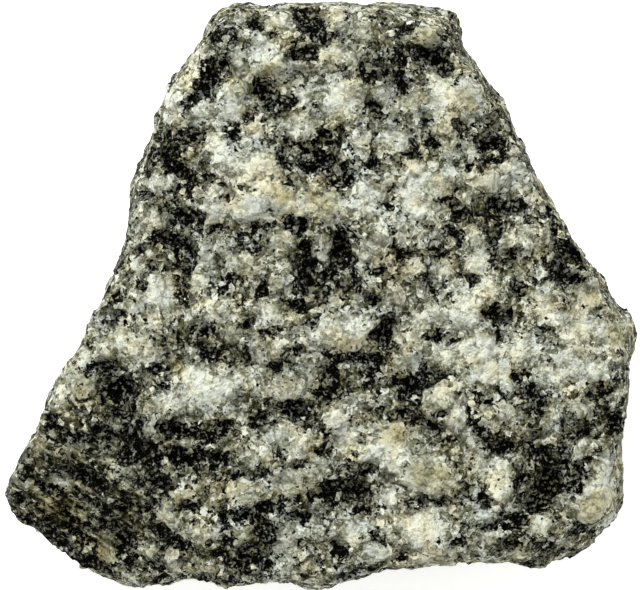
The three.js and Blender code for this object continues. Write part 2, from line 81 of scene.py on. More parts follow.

# Clusters of black mica, and the black hollows that broke along it, whose black also paints their shade.
# A few patches paint the shade of the stone's edges, as marked below.
DARK_CLUSTERS = [
    # The narrow end.
    (-1.3, 38.4, 2.6, 1.6, -50), (1.2, 36.7, 1.6, 0.6, 0), (-2.3, 34.2, 1.7, 0.9, 0),
    (-14, 36.8, 1.8, 1.0, -10), (-14, 32.8, 1.6, 0.8, 20), (-16.2, 31.5, 1.4, 1.6, 0),
    (-16.5, 29.2, 1.6, 0.8, 0), (-18, 27.8, 1.3, 0.8, 45), (-9.4, 38.4, 1.4, 1.0, -30),
    (-6.8, 36.7, 0.7, 0.7, 0), (-7.4, 28.6, 2.4, 1.3, -35), (-4.2, 27.6, 0.9, 0.9, 0),
    (-9.4, 25.3, 1.6, 0.6, -10), (-12, 23.6, 1.5, 1.2, -60), (10.2, 36.7, 1.0, 0.6, 0),
    (19.3, 38, 0.9, 2.4, 0), (8.5, 38.8, 1.2, 0.5, -20), (12, 37.7, 0.7, 0.6, 0),
    (17.4, 37.2, 0.6, 0.9, 20), (15.2, 33.9, 2.9, 1.2, -12), (17.8, 31.8, 1.7, 1.1, -40),
    (8.4, 33.4, 0.5, 2.2, 20), (11.4, 33.5, 0.4, 1.2, 0), (6.5, 31.8, 1.0, 0.6, 0),
    (11.6, 29.8, 0.7, 1.7, 20), (7.4, 27, 1.2, 0.8, -30), (8.6, 25.7, 0.7, 0.5, 0),
    (14.5, 25.6, 0.6, 1.2, 20), (15.5, 22, 0.6, 1.5, 25), (19.9, 24.1, 1.7, 0.8, -5),
    (24.9, 27, 1.7, 0.5, -50), (24.5, 21.5, 2.0, 1.1, 0), (24.9, 19.4, 1.2, 0.8, 0),
    (20.9, 18.9, 0.6, 0.8, 0), (13, 20.3, 0.9, 0.5, 0), (7.2, 19, 0.8, 1.2, 0),
    # The left side: the seam, the scoop and the black hollow under it.
    (-18, 22.8, 1.7, 1.2, -20), (-21.4, 22.8, 2.1, 0.5, -8), (-22.2, 20.3, 1.7, 0.6, 5),
    (-19.5, 17.6, 3.2, 1.0, -35), (-19.5, 15.2, 2.3, 0.7, 0), (-24.5, 14.8, 1.2, 0.5, 10),
    (-24, 17.6, 0.8, 0.5, 40), (-18.6, 11.3, 1.9, 1.6, 0), (-17.2, 10.7, 1.0, 1.3, 0),
    (-21.5, 8.2, 2.3, 0.8, 0), (-19.2, 7.4, 1.7, 1.4, 0), (-19, 5, 1.4, 1.9, 0), (-19.3, 0.8, 0.9, 2.4, 5),
    (-25.5, 6.2, 1.9, 0.5, 30), (-22.3, 4, 1.2, 0.5, 0), (-28.2, 0.3, 1.1, 0.7, 0),
    (-28.4, 4.5, 0.9, 0.6, 0), (-25.2, 2, 1.0, 0.6, 0), (-15.9, 18, 0.9, 0.5, 0),
    (-14.5, 16.5, 1.7, 0.5, -35), (-10.4, 15.2, 1.0, 0.4, 0), (-13, 14, 1.1, 0.5, 0),
    (-27.5, -2.5, 1.0, 0.9, 0), (-31, -9.3, 1.7, 0.7, 15), (-22.3, -9.7, 1.7, 0.7, -20),
    (-22.3, -12.3, 1.0, 0.6, 0), (-28.2, -13.2, 2.3, 1.8, 0), (-27.5, -15.9, 1.2, 0.8, 0),
    # The middle.
    (-4.9, 18.2, 0.4, 3.4, 25), (-3, 21.3, 1.4, 0.5, -25), (-1.5, 20.3, 1.0, 0.7, 0),
    (-0.8, 18.9, 2.2, 1.2, 0), (1.6, 22.8, 2.3, 1.1, 12), (3, 16.5, 2.0, 1.3, -20),
    (-3.6, 10.5, 1.8, 1.2, -20), (-1.9, 7.4, 0.8, 2.0, 0), (2.7, 7.1, 1.3, 2.1, 5),
    (3.5, 5.4, 1.7, 1.2, -20), (0.3, 4, 2.8, 0.9, -38), (-1.9, 3, 2.2, 1.0, -50),
    (-1.5, 0.7, 2.2, 0.9, -10), (-8, 9.8, 1.2, 0.5, 0), (-12, 9, 1.8, 0.5, -15), (-14.6, 9.8, 0.8, 0.5, 0),
    (-9, 6.8, 0.8, 0.5, 0), (-13.5, 2.3, 1.5, 0.5, 0), (-8, 1.4, 1.0, 0.8, 0), (9.6, 13, 1.7, 0.7, -25),
    (10.3, 14.8, 0.5, 0.8, 0), (19.3, 12, 1.3, 1.4, 0), (17.5, 13.6, 1.0, 0.4, 0),
    (25.2, 12.8, 1.8, 1.2, 10), (27.8, 13, 1.3, 0.7, 0), (22.5, 12, 0.9, 0.6, 0), (24.3, 8.3, 0.6, 0.8, 0),
    (19.2, 8.8, 0.9, 1.7, 20), (4.6, 8.8, 1.1, 0.5, -30), (10.3, 7.8, 0.4, 1.5, 15),
    (12.2, 6.1, 2.8, 0.5, -20), (16, 6.6, 1.3, 0.6, 0), (16, 1.8, 1.9, 0.8, -48), (20.3, 3, 1.5, 0.7, -30),
    (26.5, 6.2, 1.7, 0.6, 15), (25.5, 4.7, 1.4, 0.5, 0), (28, 1.4, 1.2, 0.6, -20),
    (34.5, 3.1, 2.3, 1.0, -15), (35.2, 6.4, 2.8, 0.7, -40), (33.2, 9.8, 0.7, 1.2, 20),
    (8, 4, 1.3, 0.6, -10), (7.3, -0.7, 1.1, 1.0, 0), (8.8, -5.3, 1.7, 1.5, -30), (9.3, -3, 1.0, 0.8, 0),
    (4.2, -8.5, 3.0, 0.8, -5), (7.8, -8.2, 1.2, 0.8, 0), (1.4, -11, 1.2, 1.8, 0), (1, -14, 1.9, 0.7, 0),
    (7, -11.5, 1.3, 1.4, 0), (17.2, -5.6, 1.8, 0.7, 0), (25.3, -2.5, 2.5, 1.5, -15),
    (24.8, -5.4, 0.5, 1.0, 30), (31.8, -4.3, 0.8, 0.5, 0), (32.8, -6.4, 0.4, 1.2, 40),
    (-15, -8.1, 3.1, 0.5, -24), (-4, -7.6, 1.1, 0.6, 0), (-6.7, -9.6, 1.9, 0.5, 0),
    (-10.2, -8.3, 0.5, 1.3, 0), (-10.3, -3.8, 0.9, 0.8, 0), (-17, -4.5, 1.2, 0.5, 0),
    # The wide end.
    (-26.3, -18, 1.5, 1.6, 0), (-37.6, -17.5, 0.9, 1.4, 20), (-36, -19.4, 1.7, 0.8, 0),
    (-33.4, -17.4, 0.9, 0.6, 0), (-30.3, -19.7, 4.6, 0.8, 0), (-26.2, -21.8, 2.3, 0.9, 20),
    (-19.8, -18.4, 2.6, 1.0, 0), (-13.9, -18.4, 1.7, 0.9, 0), (-16.2, -19.6, 1.5, 0.7, 0),
    (-19.2, -22.5, 2.9, 1.4, -10), (-14.7, -22.8, 1.8, 0.9, -10), (-23.8, -22.8, 1.9, 1.1, 0),
    (-18.8, -24.6, 1.3, 0.7, 0), (-22.8, -25.9, 2.3, 1.3, -20), (-34.6, -24.3, 3.2, 0.7, -4),
    (-31.5, -25.8, 2.0, 1.1, -30), (-37.5, -27, 2.0, 0.5, -15), (-42.3, -28, 1.3, 0.5, 0),
    # Painted shade: the first three patches of the next line and the first of the line after it make the
    # black band along the lower left edge, which faces down, away from the light.
    (-41.3, -31, 2.6, 1.1, -36), (-37, -34.2, 2.8, 1.3, -38), (-33.4, -36.6, 2.8, 1.4, -40),
    (-30.6, -38.5, 2.1, 1.2, -35), (-27.6, -29.3, 1.1, 0.8, 0), (-30, -31.4, 1.5, 0.5, -15),
    (-23.5, -28.9, 0.8, 0.6, 0), (-27.4, -34.2, 0.9, 1.9, 0), (-26.4, -36.8, 1.2, 0.8, 0),
    (-22, -33, 1.3, 0.7, -30), (-20.5, -34.6, 1.9, 0.6, -8), (-23, -37.5, 1.1, 0.8, 0),
    (-19.5, -39.6, 3.4, 0.5, 0), (-13.2, -36.5, 2.3, 0.6, -35), (-10.2, -36.2, 1.6, 1.5, 0),
    (-12.8, -40, 1.2, 0.4, 0), (-18, -29.3, 1.3, 0.6, 0), (-13.3, -28.8, 0.5, 1.1, 0),
    (-9.2, -31, 1.7, 0.6, 5), (-8.6, -17.4, 1.5, 1.2, 0), (-3, -16.2, 2.5, 1.1, -25),
    (-1.6, -18.2, 1.0, 0.7, 0), (0.4, -21.5, 1.0, 1.1, 0), (1, -19, 0.8, 0.6, 0),
    (-0.4, -27.8, 3.2, 0.7, 4), (-4.3, -28.7, 0.9, 0.4, 20), (13, -11.8, 2.5, 0.9, 8),
    (15.9, -11.4, 2.2, 0.4, 15), (12.1, -13.4, 1.4, 1.3, 0), (13.4, -15.6, 0.4, 1.8, 15),
    (15.4, -17.7, 2.0, 0.5, -35), (17.3, -16.3, 0.8, 0.5, 0), (21.2, -16.4, 0.4, 1.9, -5),
    (23.2, -19, 2.3, 0.6, -48), (25.6, -21, 2.1, 0.6, -8), (21, -13.3, 0.8, 0.5, 0),
    (23.6, -14.5, 0.9, 0.8, 0), (25.3, -13.3, 1.0, 0.6, -50), (28, -11.2, 1.1, 0.8, 0),
    (30.3, -13.3, 1.6, 1.2, -30), (30.8, -15.6, 0.8, 1.2, 0), (39, -13.3, 1.6, 0.9, 0),
    (41.4, -17.2, 0.9, 1.4, -20), (34, -17.6, 0.4, 1.3, 0), (35.7, -19.3, 1.9, 0.4, 20),
    (42.3, -10.3, 0.5, 1.1, 0), (29, -21.4, 0.8, 2.1, 10), (31.5, -22, 1.2, 1.2, 0),
    (34.5, -22, 0.6, 1.7, 10), (37.4, -22.8, 1.9, 0.5, 40), (36.5, -25.7, 0.9, 1.6, -25),
    (32.3, -26.2, 2.0, 2.1, 0), (28.4, -26, 1.0, 1.6, 0), (30.3, -29, 2.2, 1.0, 5),
    (27, -31.2, 1.7, 1.0, 10), (22.8, -27.7, 0.6, 1.7, 15), (23, -32.4, 1.9, 0.4, -8),
    (15.4, -28.7, 3.2, 0.5, 0), (19.2, -34.3, 1.3, 0.8, 20), (5, -27.2, 1.7, 1.4, 0),
    (6.4, -29.8, 2.0, 0.8, 0), (2.4, -26.3, 2.0, 0.6, 20), (6.5, -24.3, 1.3, 0.5, 25),
    # Painted shade: the first and the last patch of the next line make the dark band along the bottom edge,
    # which faces away from the light.
    (2.8, -35.4, 1.4, 1.1, 0), (8.3, -33.9, 1.8, 0.6, -10), (6.8, -38.7, 3.4, 0.8, 12),
    (11.7, -37, 0.7, 0.5, 0), (26.8, -34.3, 1.1, 0.6, 0), (31.5, -34.6, 1.6, 1.1, 30),
    (30, -37.6, 1.5, 0.4, 0), (34.2, -36, 1.3, 0.6, 25), (37.3, -32.8, 1.7, 0.7, -15),
    (11.5, -16.5, 1.2, 0.6, 0), (-32, -28.5, 1.8, 0.4, -30), (-33.6, -33.6, 2.4, 1.1, -38),
    (-39.5, -25.9, 2.2, 0.4, -32), (-35, -30.8, 2.6, 0.5, -30), (-38.4, -30.6, 2.4, 0.4, -32),
    # Seams and flakes between the middle and the wide end.
    (-13.8, -26.5, 0.4, 1.6, 0), (-10, -25.1, 3.0, 0.4, 5), (-8, -29.3, 1.6, 0.7, 0),
    (-7.7, -32.5, 1.3, 1.6, 0), (-10.5, -31, 1.6, 0.7, 0), (-13.3, -30.8, 1.2, 1.3, 0),
    (-12.8, -33.6, 0.6, 1.3, 0), (-2.6, -31, 2.2, 0.5, -5), (-2.7, -23.7, 0.8, 0.5, 0),
    (-5.2, -22, 0.5, 0.9, 0), (-7.7, -37.5, 1.0, 1.0, 0), (4.9, 2.7, 0.8, 1.5, 15),
    (-3, -1.2, 1.8, 0.8, -20), (-1.6, -3.7, 1.6, 0.5, 0), (-6.4, -4.8, 1.3, 0.5, 0),
    (-3.2, -34.4, 0.5, 0.6, 0),
    # The dark rim down the right side: painted shade of the side wall there, which faces away from the light.
    (32.6, 12.2, 4.2, 0.5, -63), (36.4, 6.2, 2.6, 0.5, -45), (24.6, 27.6, 3.6, 0.45, -62),
]

# Pale crystals of feldspar.
PALE_CRYSTALS = [
    # The narrow end.
    (3, 27.8, 3.4, 1.8, 30), (-12.3, 28, 1.8, 2.6, 0), (-16.5, 26.4, 1.5, 1.4, 0), (-20.9, 28, 1.0, 2.3, 0),
    (-19.6, 25, 0.9, 0.9, 0), (-17.5, 33.8, 2.0, 0.9, 45), (-8.3, 36, 0.8, 1.4, 0),
    (-5.6, 38.8, 1.8, 1.2, 0), (2.2, 39.4, 1.2, 1.8, 20), (5.8, 37.9, 1.7, 1.3, 0),
    (-7, 32.3, 3.4, 0.9, 14), (-11.4, 33, 0.8, 1.9, 10), (1.5, 34.4, 2.3, 1.6, 0), (4.6, 34, 1.3, 1.3, 0),
    (15.2, 37, 1.9, 1.5, 0), (17, 28.4, 1.6, 2.3, 0), (20.9, 28.3, 1.6, 2.6, -10),
    (12.8, 27.4, 1.7, 1.6, 0), (10.5, 22.5, 1.7, 2.0, 0), (6, 22.3, 1.3, 0.9, 0), (17.5, 24.1, 1.3, 0.8, 0),
    (8.3, 28.9, 1.3, 1.0, 0), (-2.5, 28.4, 1.2, 1.9, 0), (-3.5, 24.4, 2.1, 1.3, 0),
    (-8.3, 23.5, 1.0, 1.2, 0), (18.5, 20.6, 1.6, 1.2, 0), (21.2, 20.5, 1.0, 0.7, 0),
    (24, 16.4, 2.7, 1.1, 0), (27, 18.4, 1.7, 1.2, -40), (17, 16, 1.6, 1.8, 0), (13.4, 17, 1.6, 2.2, 0),
    (13.5, 12.9, 2.3, 2.0, 0),
    # The left side.
    (-14.2, 20.8, 1.3, 2.2, 40), (-12.8, 18.9, 1.2, 1.4, 0), (-9, 18.5, 2.3, 1.5, 0),
    (-10.3, 12.6, 2.2, 2.3, 0), (-14.6, 12.4, 1.2, 2.5, 0), (-22.6, 15.9, 1.5, 0.7, 0),
    (-23, 10.7, 2.2, 1.1, 8), (-22.4, 1, 1.9, 2.6, 0), (-26.5, -0.9, 1.3, 1.0, 0), (-16.7, 2, 1.4, 1.3, 0),
    (-14.5, -1.5, 2.5, 1.4, -8), (-16, 6, 1.4, 1.5, 0), (-11, 5, 2.0, 1.1, 0), (-25.5, -7, 2.1, 1.8, 30),
    (-29.4, -6.4, 2.6, 1.1, 38), (-33.4, -9, 2.6, 0.9, 50), (-33.5, -12.4, 1.6, 1.5, 0),
    (-17.8, -11, 1.8, 2.1, 0), (-15.2, -13.6, 2.9, 1.6, 18), (-21.4, -15, 2.3, 1.0, 0),
    # Partly painted light: the last two patches of the next line are pale strips along the lit bevel of the
    # left edge.
    (-13, -11.6, 1.6, 1.0, 0), (-36.6, -14.4, 0.9, 2.4, -25), (-39.4, -20.8, 0.9, 2.4, -30),
    (-25.7, 5, 1.4, 1.2, 0),
    # The middle.
    (-6, 14.3, 2.7, 1.8, -25), (-2.5, 12.9, 1.7, 1.6, 0), (1, 12.6, 2.2, 2.1, 0), (-5.5, 8, 1.7, 1.6, 0),
    (-5.6, 2, 1.2, 1.0, 0), (0.1, 6.7, 1.4, 1.9, 0), (6, 6.6, 1.0, 1.6, 0), (8.5, 7.9, 1.7, 2.0, 0),
    (6.5, 12.8, 2.1, 1.4, 0), (6.9, 15.3, 1.7, 1.6, 0), (28.8, 8.8, 1.7, 2.1, 0), (26.3, 8, 1.4, 1.4, 0),
    (31.5, 8.7, 0.9, 0.9, 0), (21.8, 8.3, 1.3, 1.3, 0), (22.5, 4.7, 1.6, 1.8, 0), (17.6, 4.4, 2.0, 1.3, 0),
    (13.4, 4.2, 2.1, 1.1, 0), (20.6, -1.8, 2.1, 2.7, -15), (16.4, -2.5, 1.8, 1.2, 0),
    (23.8, 1.3, 1.2, 1.3, 0), (10.3, 0.2, 1.4, 1.0, 0), (32, -1.4, 1.5, 2.6, 15), (37.8, 0.4, 2.0, 1.9, 0),
    (37.3, -4, 1.6, 1.9, 0), (34.6, -4.6, 1.3, 2.0, 20), (41, -5, 2.0, 2.0, 0), (35, -8, 1.7, 1.0, 0),
    (37.6, -10.4, 2.7, 1.4, 0), (32.6, -11, 1.9, 0.9, 0), (28.6, -7.2, 2.1, 1.3, 0),
    (3.6, -4.4, 3.5, 2.3, -5), (12.3, -6, 1.9, 2.1, 0), (12, -8.7, 1.7, 1.0, 0), (17.2, -8, 1.9, 1.4, 0),
    (22, -7, 2.5, 1.9, 0), (23.4, -10.2, 2.7, 1.6, 0), (26, -12.3, 1.2, 1.3, 0), (-7.4, -2.3, 1.7, 2.0, 0),
    (-6.3, -6.9, 1.2, 1.7, -20), (-8.8, -7, 1.1, 1.6, 0), (-4.5, -12.3, 2.5, 1.6, 0),
    (-1.8, -10, 1.3, 1.3, 0), (1, -5.5, 1.2, 1.4, 0), (-12, -5, 1.3, 1.2, 0),
    # The wide end.
    (-5.3, -19.3, 1.7, 1.3, 0), (-23.8, -18.2, 1.1, 1.3, 0), (-22.5, -21.7, 0.7, 0.6, 0),
    (-28.8, -17.4, 0.9, 1.3, 0),
    (-19.8, -19.9, 2.2, 0.5, 0), (-29.7, -23.3, 2.8, 0.8, -28), (-35.4, -21.8, 2.3, 0.8, -8),
    (-36.4, -25.8, 2.6, 0.7, -10), (-41.4, -26, 1.8, 0.9, -30), (-38, -29.8, 3.4, 0.7, -22),
    (-29.7, -35.8, 1.5, 2.1, 0), (-21.4, -30.6, 1.2, 2.1, 15), (-20.6, -37.2, 1.7, 1.5, 0),
    (-17.4, -37.8, 2.2, 0.7, 0), (-16.6, -33, 2.1, 1.1, 0), (-15.6, -26, 2.3, 0.8, 22),
    (-19.4, -27.6, 1.5, 1.0, 0), (-10.8, -27, 2.9, 1.8, 10), (-10.7, -33.2, 1.3, 1.2, 0),
    (-8.7, -22, 1.9, 1.2, 0), (-4.7, -26, 2.2, 2.4, 0), (-3, -20.6, 1.5, 2.8, -15),
    (-0.6, -24.2, 1.8, 1.4, 0), (-4.9, -34.2, 1.6, 2.8, 0), (2.2, -17.4, 1.5, 2.1, 25),
    (3.6, -19.8, 1.3, 2.0, 10), (4.2, -33, 1.7, 1.6, 0), (10, -22, 3.1, 2.2, -18),
    (10, -18.4, 2.1, 1.1, -10), (15.3, -25, 3.7, 2.4, 0), (7, -22.4, 1.2, 1.0, 0),
    (16.4, -14.6, 2.3, 2.6, 0), (19.3, -17, 1.7, 1.4, 0), (26, -16, 1.7, 1.3, 0),
    (25.6, -25.2, 1.5, 3.4, 5), (22.2, -23.9, 1.4, 1.4, 0), (22, -21.2, 2.2, 0.8, -35),
    (22.3, -26.6, 1.1, 1.2, 0), (38.6, -28.7, 3.4, 2.3, 30), (36.6, -21, 1.9, 0.9, 22),
    (40.2, -24.5, 1.3, 1.9, 0), (33, -16, 1.7, 1.6, 0), (36.8, -15.6, 1.6, 1.2, 0), (31, -32, 2.1, 1.4, 0),
    (24, -34, 1.7, 1.0, 0), (23, -30.9, 1.6, 1.0, 0), (27.4, -36.1, 2.2, 0.9, 0),
    (33.8, -34.2, 1.0, 0.8, 0), (14.3, -32.4, 3.3, 2.3, 0), (16.4, -36.6, 3.7, 0.9, 12),
    (9.6, -28.2, 2.1, 1.0, 0), (8, -36, 1.8, 1.1, 0), (-24.5, -35.6, 1.4, 1.0, 0),
]

# Where water has left the crystals cream, tan or brown.
RUST_STAINS = [
    (-21.6, -6.6, 1.8, 1.4, -30), (-20, -8.8, 0.9, 1.6, 0), (-4.8, -12.1, 1.2, 1.4, 0),
    (31, 6.2, 2.6, 1.0, 10), (1.3, 33.6, 1.6, 1.6, 0), (1, 13, 2.4, 2.2, 0), (-5.4, 14.4, 2.0, 1.6, 0),
    (20.9, 28, 1.6, 2.4, -10), (15, 37.2, 3.0, 1.5, 0), (38, 0.2, 1.6, 1.6, 0), (-36, -30, 5.0, 2.0, -30),
    (-33.6, -22.4, 4.0, 1.2, -12), (-30, -35.2, 2.4, 2.6, 0), (-18, -38, 3.0, 0.8, 0),
    (-21.6, -30.6, 1.2, 2.0, 0), (38, -29.4, 3.8, 2.2, 30), (15.6, -24.6, 3.8, 2.2, 0),
    (10.4, -19.4, 3.2, 1.6, -20), (16.6, -36.8, 3.6, 0.9, 12), (-19.4, 17.6, 3.2, 1.4, -35),
    (12.4, 6, 2.8, 0.8, -20), (5, -27.4, 1.8, 1.6, 0), (32.4, -26.6, 2.0, 2.0, 0), (3.4, -6, 2.6, 1.0, 0),
    (-7, 32.4, 3.4, 0.8, 14), (-40, -24.4, 1.6, 1.4, 0), (41.6, -5.4, 1.8, 1.8, 0),
    (-33.6, -12.6, 1.8, 1.4, 0),
]

# Where the front is darker between the clusters, and where it is lighter: partly where black mica is
# plentiful and where it is scarce, partly painted shade and painted light on the stone's large faces, such
# as the shade on the bevel at the lower left corner.
GLOOMY_ZONES = [
    (-33, -26, 11, 8, -35), (-29, -19, 8, 4, 0), (-20, -20, 5, 3, 0), (-28, -12.5, 4, 4, 0),
    (-19, -35, 9, 3, 0), (-20, 9, 2.5, 6, 0), (-21, 20, 4, 2.5, -20), (-0.5, 4, 3.5, 7, 0),
    (0, 19, 4, 2, 0), (-1.5, 37, 2, 2, 0), (-8, 27.5, 3, 2, -30), (15, 33, 4, 3, -10),
    (23, 21, 4, 2.5, -50), (25, 10, 4, 3, 0), (35, 4, 3, 3, -40), (9, -6, 3, 3, -30), (12, -12, 4, 3, 0),
    (1, -12, 3, 2.5, 0), (32, -25, 4.5, 4.5, 0), (29, -15, 4, 3, 0), (5, -27, 3, 2, 0), (-10, -34, 5, 3, 0),
    (30, -34, 5, 2, 10), (-17, -6, 6, 2, -20), (39, -16, 4, 4, 0), (26, -19.5, 4, 2.5, 0),
    (20, -27, 2.5, 3, 0), (-13, -24, 3, 3, 0), (7, 32, 2.5, 3, 0), (0, -27, 6, 3, 0),
]
BRIGHT_ZONES = [
    (-12, 16, 5, 5, -30), (-4, 13.5, 5, 2.5, 0), (-15, -12.5, 5, 2.5, 15), (10, -21, 3, 2, 0),
    (13.5, -33, 5, 3, 0), (20.5, -1, 4, 4, 0), (6, -4.5, 3.5, 2.5, 0), (38.5, -28, 4, 4, 40),
    (2, 28.5, 3, 3, 0), (17, 27, 5, 4, 0), (-23, -2, 5, 2.5, 55), (-21, 31, 2, 6, -20), (35, -9, 5, 4, 0),
    (24, -9, 5, 3, 0), (13, 14, 5, 4, 0), (-22, 2, 3, 3, 0), (27, 17.5, 4, 3, 0), (-13, 25, 4, 4, 0),
    (-7, 35, 3, 3, 0), (0, 25.5, 2.5, 1.5, 0), (-2, -6.5, 2, 2, 0), (5, -33, 3, 2.5, 0),
]

# The broken bevel at the lower left corner is drawn out in streaks along its edge.
STREAKED_ZONE = [(-35, -29, 12, 8, -36)]
STREAK_TURN = math.radians(-34)

# How wide the edges of these patches are (mm). On a narrow patch an edge is at most so many half widths.
CRYSTAL_EDGE = 1.0
RUST_EDGE = 2.5
GLOOMY_EDGE = 5.0
BRIGHT_EDGE = 4.0
STREAKED_EDGE = 5.0
MOST_HALF_WIDTHS = 2.2

# The flaky patches of the sides and the back (mm): one to a cell, its least radius, how much larger it may
# be, its edge, and how strongly it is squeezed along a way of its own.
FLAKE_CELL = 3.6
FLAKE_RADIUS = 0.6
FLAKE_SPREAD = 2.2
FLAKE_EDGE = 1.3
FLAKE_SQUEEZE = 1.6

# Which flaky patches are mica, feldspar and rusty feldspar: a number from 0 to 1, drawn for each, lies below
# the first or above the others. Their gloom comes in waves of this size (mm).
MICA_BELOW = 0.5
FELDSPAR_ABOVE = 0.55
RUST_ABOVE = 0.9
GLOOM_WAVES = 14

# The edges of all patches wander along waves of one size, by less on the front than on the sides (mm). Each
# axis takes its waves from another place in the noise.
WANDER_WAVES = 1.8
FRONT_WANDER = 0.75
SIDE_WANDER = 1.3
WANDER_PLACES = (11, 37, 71)

# The front's own minerals fade in between these upward parts of the surface's normal, and between these
# heights (mm). Feldspar gives way to this share of the mica.
FRONT_FACING = (0.08, 0.35)
FRONT_HEIGHTS = (3, 8)
MICA_OVER_FELDSPAR = 0.7

# The relief of the large crystals and of the grains in them: steps between neighbours in crystal widths,
# tilts in mm for each mm, and a number that sets their random draws apart.
BLOCK_STEP, BLOCK_TILT, BLOCK_DRAW = 0.15, 0.26, 20
GRAIN_STEP, GRAIN_TILT, GRAIN_DRAW = 0.16, 0.3, 40

# Swells of the surface: their height and size (mm).
SWELL_HEIGHT = 0.12
SWELL_SIZE = 1.6

# All waves: how fast the smaller ones fade, and how many times finer each set is than the last.
WAVE_FADE = 0.7
WAVE_FINENESS = 2.1

# Feldspar stands up by this share of the mica's depth, and mica sinks in as its own share rises from the
# first of these numbers to the second.
FELDSPAR_RISE = 0.5
MICA_SINKS = (0.2, 0.8)

# What is left of the relief on upright sides, and at the floor, from where it grows to this height (mm).
SIDE_RELIEF = 0.45
FLOOR_RELIEF = 0.1
FLOOR_REACH = 1.5

# Numbers without a pattern that scramble a place into a chance.
SCRAMBLE = np.array([127.1, 311.7, 74.7])
SCRAMBLE_PURPOSE = 19.19
SCRAMBLE_STRETCH = 43758.5453

# Noise of the material: its largest waves (mm), its detail and its roughness.
NOISES = {"patchy": (2.6, 3, 0.7), "ragged": (0.9, 4, 0.75), "drift": (4, 1, 0.5)}

# Crystals of the material: their width and how strongly their edges wander (mm), on waves of this size (mm).
CRYSTALS = {"block": (2.3, 2.2), "grain": (0.85, 1.6), "sugar": (0.38, 0.9)}
CRYSTAL_WAVES = 1.5

# How long, wide and deep a streak is (mm).
STREAK_SIZE = (5, 0.8, 2)

# How far a grain's cleavage face leans, and how smooth and how rough the faces are.
CLEAVAGE_LEAN = 0.7
GLOSSY, DULL = 0.42, 0.9

# The mixed patterns of the broken surface, in the order that they are made. Each adds other patterns, with
# their weights, to a start. A weight may be a pattern too. Where an edge follows, the sum then rises
# smoothly from 0 at the first number to the third at the second.
MIXED_PATTERNS = {
    "streak": (0, {"drawn out": "streaks", "streaks": -0.5}, None),
    "pale speck": (0, {"grain green": 1}, (0.76, 0.80, 1)),
    "dark speck": (0, {"sugar red": 1}, (0.88, 0.93, 1)),
    "is mica": (-1.1, {
        "mica": 0.58, "gloom": 0.14, "feldspar": -0.22, "ragged": 1.75, "patchy": 0.5, "block blue": 0.1,
        "grain blue": 0.36, "sugar blue": 0.26, "pale speck": -0.48, "dark speck": 0.2, "streak": -2,
    }, (0.44, 0.56, 1)),
    "speckle": (-1.22, {"ragged": 1.4, "grain red": 0.6, "sugar red": 0.44}, None),
    "calm": (1, {"feldspar": -0.45}, None),
    "paleness": (0.285, {
        "feldspar": 0.17, "gloom": -0.14, "streaks": -0.12, "patchy": 0.4, "block red": 0.16,
        "speckle": "calm", "streak": 1.2,
    }, None),
    # Painted glints: grey flecks in the black mica's colour stand for flakes that catch the light.
    "mica_glint": (-0.95, {"ragged": 2, "sugar green": 0.5}, (0.42, 0.66, 0.8)),
    "seam rim": (0, {"seam distance": 1}, (0.09, 0, 1)),
    "seam stretch": (0, {"patchy": 1}, (0.52, 0.43, 0.5)),
    "seam": (0, {"seam rim": "seam stretch"}, None),
    "crumbs": (0, {"ragged": 1, "patchy": 1.5}, None),
    "warmth": (-0.56, {"block green": 0.4, "grain blue": 0.25, "drift": 1.6}, None),
    "stain": (-1.3, {"rust": 1, "patchy": 1.2, "ragged": 1.4}, (0.35, 0.95, 0.7)),
}

# A Mix node's sockets for colours: its share, the colour below and the one above, and what it gives.
MIX_SHARE, MIX_BELOW, MIX_ABOVE, MIXED = 0, 6, 7, 2


def linear(hex_colour):
    """An sRGB hex colour as linear red, green, blue and full alpha."""
    channels = [int(hex_colour[i:i + 2], 16) / 255 for i in (1, 3, 5)]
    return tuple(c / 12.92 if c <= 0.04045 else ((c + 0.055) / 1.055) ** 2.4 for c in channels) + (1.0,)


def add_node(tree, kind, inputs=None, **settings):
    """Adds a node with its settings. Each input is given a value, or another node's socket to follow."""
    node = tree.nodes.new(kind)
    for name, value in settings.items():
        setattr(node, name, value)
    for name, value in (inputs or {}).items():
        if isinstance(value, bpy.types.NodeSocket):
            tree.links.new(value, node.inputs[name])
        else:
            node.inputs[name].default_value = value
    return node


class StoneSettings(bpy.types.PropertyGroup):
    """Sizes and colours of the granite."""
    grid: FloatProperty(
        name="Surface grid", description="Spacing of the points that the broken surface is made of",
        default=0.5 * MM, min=0.3 * MM, max=2 * MM, unit="LENGTH", precision=5)
    block_size: FloatProperty(
        name="Crystal size", description="Typical size of the feldspar crystals that broke apart",
        default=2.6 * MM, unit="LENGTH", precision=5)
    grain_size: FloatProperty(
        name="Grain size", description="Typical size of the sugary grains within a crystal",
        default=1.05 * MM, unit="LENGTH", precision=5)
    hollow_depth: FloatProperty(
        name="Mica hollow depth", description="How far the soft mica is broken out below the feldspar",
        default=0.6 * MM, unit="LENGTH", precision=5)
    # The mica's black also paints the shade in the hollows where it broke out.
    mica: FloatVectorProperty(
        name="Mica", description="Colour of the black mica", subtype="COLOR", size=4,
        default=linear("#030301"))
    quartz: FloatVectorProperty(
        name="Quartz", description="Colour of the grey quartz", subtype="COLOR", size=4,
        default=linear("#777767"))
    feldspar: FloatVectorProperty(
        name="Feldspar", description="Colour of the pale feldspar", subtype="COLOR", size=4,
        default=linear("#dfe1d9"))
    rust: FloatVectorProperty(
        name="Rust", description="Colour of the iron stain", subtype="COLOR", size=4,
        default=linear("#cfc59c"))
    seed: IntProperty(name="Seed", description="Which random break the crystals make", default=4, min=0)


